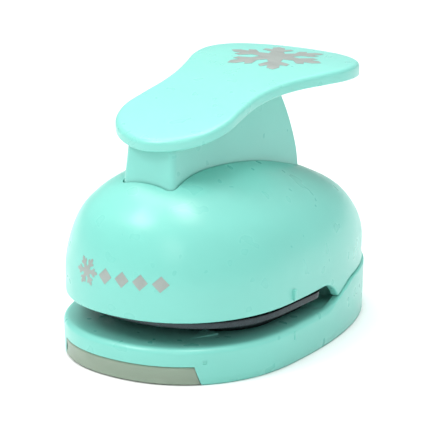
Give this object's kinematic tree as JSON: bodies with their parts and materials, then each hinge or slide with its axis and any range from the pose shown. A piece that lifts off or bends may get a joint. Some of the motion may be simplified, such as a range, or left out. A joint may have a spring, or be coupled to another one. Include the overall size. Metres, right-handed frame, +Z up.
{
  "type": "craft punch",
  "caption": "Lever paper punch with a snowflake die, oval housing, open paper mouth and swing-down chip tray.",
  "frame": {"origin": "middle of the footprint on the table: centre of the overall length and width, at the bottom of the base rim", "axes": "+Z up, +Y from the paper mouth towards the palm end, +X to the right when looking along +Y"},
  "size_m": [0.0672, 0.1052, 0.0745],
  "materials": {
    "mint_plastic": "satin-gloss injection-moulded ABS",
    "mint_lever_plastic": "satin-gloss injection-moulded ABS",
    "silver_print": "pad-printed silver ink",
    "bright_steel": "ground steel",
    "dark_steel": "oiled stamped steel",
    "zinc": "zinc plate",
    "spring_steel": "drawn wire",
    "white_acetal": "matte acetal",
    "smoked_clear_plastic": "translucent polypropylene"
  },
  "bodies": {
    "housing": {"base_shell": "mint_plastic", "dome_cover": "mint_plastic", "front_print_star": "silver_print", "front_print_dot_1": "silver_print", "front_print_dot_2": "silver_print", "front_print_dot_3": "silver_print", "front_print_dot_4": "silver_print", "pivot_pin": "bright_steel", "pivot_clip_left": "spring_steel", "pivot_clip_right": "spring_steel", "guide_plate": "dark_steel", "die_plate": "dark_steel", "frame_spacer_left": "zinc", "frame_spacer_right": "zinc", "frame_rivet_front_left": "zinc", "frame_rivet_front_right": "zinc", "frame_rivet_rear_left": "zinc", "frame_rivet_rear_right": "zinc", "guide_post_left": "bright_steel", "guide_post_right": "bright_steel", "return_spring_left": "spring_steel", "return_spring_right": "spring_steel", "housing_screw_front_left": "zinc", "housing_screw_front_right": "zinc", "housing_screw_rear_left": "zinc", "housing_screw_rear_right": "zinc", "tray_pin": "bright_steel"},
    "lever_arm": {"lever": "mint_lever_plastic", "lever_print": "silver_print"},
    "plunger": {"plunger_head": "white_acetal", "snowflake_punch": "bright_steel", "punch_screw_left": "zinc", "punch_screw_right": "zinc"},
    "tray": {"chip_tray": "smoked_clear_plastic"}
  },
  "joints": [
    {"name": "lever_pivot", "type": "hinge", "parent": "housing", "child": "lever_arm", "pos_m": [0, -0.0312, 0.0365], "axis": [-1, 0, 0], "range_deg": [0, 15]},
    {"name": "plunger_slide", "type": "slide", "parent": "housing", "child": "plunger", "axis": [0, 0, -1], "range_m": [0, 0.0042], "stiffness_N_per_m": 100, "springref_m": -0.004, "deforming": ["return_spring_left", "return_spring_right"]},
    {"name": "tray_hinge", "type": "hinge", "parent": "housing", "child": "tray", "pos_m": [0, 0.0145, 0.0039], "axis": [1, 0, 0], "range_deg": [0, 60]}
  ],
  "couplings": [
    {"joint": "plunger_slide", "follows": "lever_pivot", "m_per_rad": 0.0157}
  ]
}
